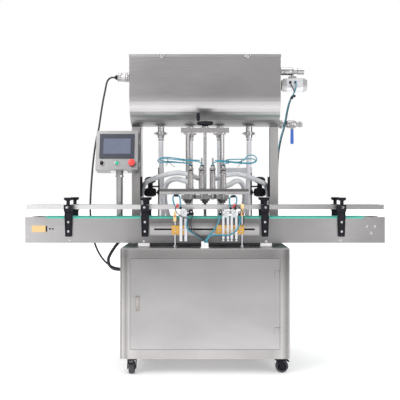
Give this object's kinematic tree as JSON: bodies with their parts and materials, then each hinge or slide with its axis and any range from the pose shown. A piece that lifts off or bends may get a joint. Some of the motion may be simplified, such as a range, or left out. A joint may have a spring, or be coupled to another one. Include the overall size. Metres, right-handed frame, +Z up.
{
  "type": "piston liquid filler",
  "caption": "In-line piston filler on casters: round-bottomed hopper, hand-cranked nozzle lift, slat conveyor, bottle stops, touch panel.",
  "frame": {"origin": "centre of the bounding box in x and y, on the floor under the caster wheels", "axes": "+X along the conveyor to the right, +Y away from the operator, +Z up"},
  "size_m": [2, 0.7236, 1.797],
  "materials": {
    "stainless": "brushed",
    "polished_steel": "polished",
    "aluminium_profile": "satin",
    "gold_anodised": "anodised",
    "black_plastic": "moulded",
    "wheel_tread": "matt",
    "belt_slats": "moulded",
    "motor_paint": "satin",
    "lever_sleeve": "glossy",
    "screen_panel": "glossy",
    "start_cap": "glossy",
    "stop_cap": "glossy",
    "clear_hose": "translucent",
    "ribbed_hose": "ribbed",
    "cable_sheath": "matt"
  },
  "bodies": {
    "machine": {"cabinet_frame": "stainless", "cabinet_panels": "stainless", "table_top": "polished_steel", "conveyor_side_front": "stainless", "conveyor_side_rear": "stainless", "conveyor_belt": "belt_slats", "gear_motor": "motor_paint", "stopper_rail": "polished_steel", "stopper_left": "gold_anodised", "stopper_right": "gold_anodised", "hopper_tank": "stainless", "hopper_frame": "stainless", "level_sensor": "polished_steel", "inlet_valve": "polished_steel", "drain_valve": "polished_steel", "lift_frame": "polished_steel", "dosing_block": "stainless", "panel_post": "polished_steel", "supply_hose_1": "clear_hose", "supply_hose_2": "clear_hose", "supply_hose_3": "clear_hose", "supply_hose_4": "clear_hose", "filling_hose_1": "ribbed_hose", "filling_hose_2": "ribbed_hose", "filling_hose_3": "ribbed_hose", "filling_hose_4": "ribbed_hose", "sensor_cable": "cable_sheath", "panel_conduit": "cable_sheath"},
    "door": {"cabinet_door": "stainless"},
    "latch": {"door_latch": "polished_steel"},
    "caster_1": {"caster_fork_1": "black_plastic"},
    "wheel_1": {"caster_wheel_1": "wheel_tread"},
    "caster_2": {"caster_fork_2": "black_plastic"},
    "wheel_2": {"caster_wheel_2": "wheel_tread"},
    "caster_3": {"caster_fork_3": "black_plastic"},
    "wheel_3": {"caster_wheel_3": "wheel_tread"},
    "caster_4": {"caster_fork_4": "black_plastic"},
    "wheel_4": {"caster_wheel_4": "wheel_tread"},
    "drive_drum": {"drive_roller": "black_plastic"},
    "idler_drum": {"idler_roller": "black_plastic"},
    "front_rail": {"guide_rail_front": "aluminium_profile"},
    "rear_rail": {"guide_rail_rear": "aluminium_profile"},
    "left_stop": {"stopper_left_rod": "polished_steel"},
    "right_stop": {"stopper_right_rod": "polished_steel"},
    "lid": {"hopper_lid": "stainless"},
    "lever": {"drain_lever": "lever_sleeve"},
    "carriage": {"lift_carriage": "aluminium_profile", "nozzle_1": "polished_steel", "nozzle_2": "polished_steel", "nozzle_3": "polished_steel", "nozzle_4": "polished_steel"},
    "screw": {"lift_screw": "polished_steel", "handwheel": "black_plastic"},
    "grip": {"crank_grip": "black_plastic"},
    "panel": {"panel_box": "stainless", "touch_screen": "screen_panel"},
    "selector": {"selector_switch": "black_plastic"},
    "start": {"start_button": "start_cap"},
    "stop": {"stop_button": "stop_cap"},
    "pistons": {"dosing_crosshead": "polished_steel"}
  },
  "joints": [
    {"name": "door_hinge", "type": "hinge", "parent": "machine", "child": "door", "pos_m": [0.399, -0.35675, 0.3825], "axis": [0, 0, 1], "range_deg": [0, 110]},
    {"name": "latch_pull", "type": "hinge", "parent": "door", "child": "latch", "pos_m": [-0.36, -0.35555, 0.421], "axis": [-1, 0, 0], "range_deg": [0, 70]},
    {"name": "caster_swivel_1", "type": "hinge", "parent": "machine", "child": "caster_1", "pos_m": [-0.395, -0.27925, 0.08], "axis": [0, 0, 1], "continuous": true},
    {"name": "wheel_spin_1", "type": "hinge", "parent": "caster_1", "child": "wheel_1", "pos_m": [-0.395, -0.30125, 0.035], "axis": [1, 0, 0], "continuous": true},
    {"name": "caster_swivel_2", "type": "hinge", "parent": "machine", "child": "caster_2", "pos_m": [0.395, -0.27925, 0.08], "axis": [0, 0, 1], "continuous": true},
    {"name": "wheel_spin_2", "type": "hinge", "parent": "caster_2", "child": "wheel_2", "pos_m": [0.417, -0.27925, 0.035], "axis": [0, 1, 0], "continuous": true},
    {"name": "caster_swivel_3", "type": "hinge", "parent": "machine", "child": "caster_3", "pos_m": [-0.395, 0.22675, 0.08], "axis": [0, 0, 1], "continuous": true},
    {"name": "wheel_spin_3", "type": "hinge", "parent": "caster_3", "child": "wheel_3", "pos_m": [-0.41185, 0.24089, 0.035], "axis": [-0.6428, -0.766, 0], "continuous": true},
    {"name": "caster_swivel_4", "type": "hinge", "parent": "machine", "child": "caster_4", "pos_m": [0.395, 0.22675, 0.08], "axis": [0, 0, 1], "continuous": true},
    {"name": "wheel_spin_4", "type": "hinge", "parent": "caster_4", "child": "wheel_4", "pos_m": [0.41302, 0.23937, 0.035], "axis": [-0.5736, 0.8192, 0], "continuous": true},
    {"name": "drive_turn", "type": "hinge", "parent": "machine", "child": "drive_drum", "pos_m": [0.89, -0.12175, 0.779], "axis": [0, 1, 0], "continuous": true},
    {"name": "idler_turn", "type": "hinge", "parent": "machine", "child": "idler_drum", "pos_m": [-0.89, -0.12175, 0.779], "axis": [0, 1, 0], "continuous": true},
    {"name": "front_rail_slide", "type": "slide", "parent": "machine", "child": "front_rail", "axis": [0, 1, 0], "range_m": [-0.012, 0.02]},
    {"name": "rear_rail_slide", "type": "slide", "parent": "machine", "child": "rear_rail", "axis": [0, -1, 0], "range_m": [-0.012, 0.02]},
    {"name": "left_stop_slide", "type": "slide", "parent": "machine", "child": "left_stop", "axis": [0, 1, 0], "range_m": [0, 0.05]},
    {"name": "right_stop_slide", "type": "slide", "parent": "machine", "child": "right_stop", "axis": [0, 1, 0], "range_m": [0, 0.05]},
    {"name": "lid_hinge", "type": "hinge", "parent": "machine", "child": "lid", "pos_m": [0, 0.36175, 1.78], "axis": [-1, 0, 0], "range_deg": [0, 85]},
    {"name": "drain_turn", "type": "hinge", "parent": "machine", "child": "lever", "pos_m": [0.533, 0.16975, 1.395], "axis": [0, -1, 0], "range_deg": [0, 90]},
    {"name": "lift_slide", "type": "slide", "parent": "machine", "child": "carriage", "axis": [0, 0, 1], "range_m": [-0.015, 0.15], "deforming": ["filling_hose_1", "filling_hose_2", "filling_hose_3", "filling_hose_4"]},
    {"name": "screw_turn", "type": "hinge", "parent": "machine", "child": "screw", "pos_m": [0, -0.00925, 1], "axis": [0, 0, 1], "range_deg": [-280, 2710]},
    {"name": "grip_spin", "type": "hinge", "parent": "screw", "child": "grip", "pos_m": [-0.04, -0.00925, 1.418], "axis": [0, 0, 1], "continuous": true},
    {"name": "panel_swivel", "type": "hinge", "parent": "machine", "child": "panel", "pos_m": [-0.5, -0.00425, 1.09], "axis": [0, 0, 1], "range_deg": [-45, 45]},
    {"name": "selector_turn", "type": "hinge", "parent": "panel", "child": "selector", "pos_m": [-0.595, -0.06448, 1.14506], "axis": [0, -0.9781, 0.2079], "range_deg": [-45, 45]},
    {"name": "start_press", "type": "slide", "parent": "panel", "child": "start", "axis": [0, 0.9781, -0.2079], "range_m": [0, 0.003], "stiffness_N_per_m": 600},
    {"name": "stop_press", "type": "slide", "parent": "panel", "child": "stop", "axis": [0, 0.9781, -0.2079], "range_m": [0, 0.004], "stiffness_N_per_m": 600},
    {"name": "piston_stroke", "type": "slide", "parent": "machine", "child": "pistons", "axis": [0, 0, 1], "range_m": [0, 0.06]}
  ],
  "couplings": [
    {"joint": "idler_turn", "follows": "drive_turn", "ratio": 1},
    {"joint": "screw_turn", "follows": "lift_slide", "rad_per_m": 314.16}
  ]
}
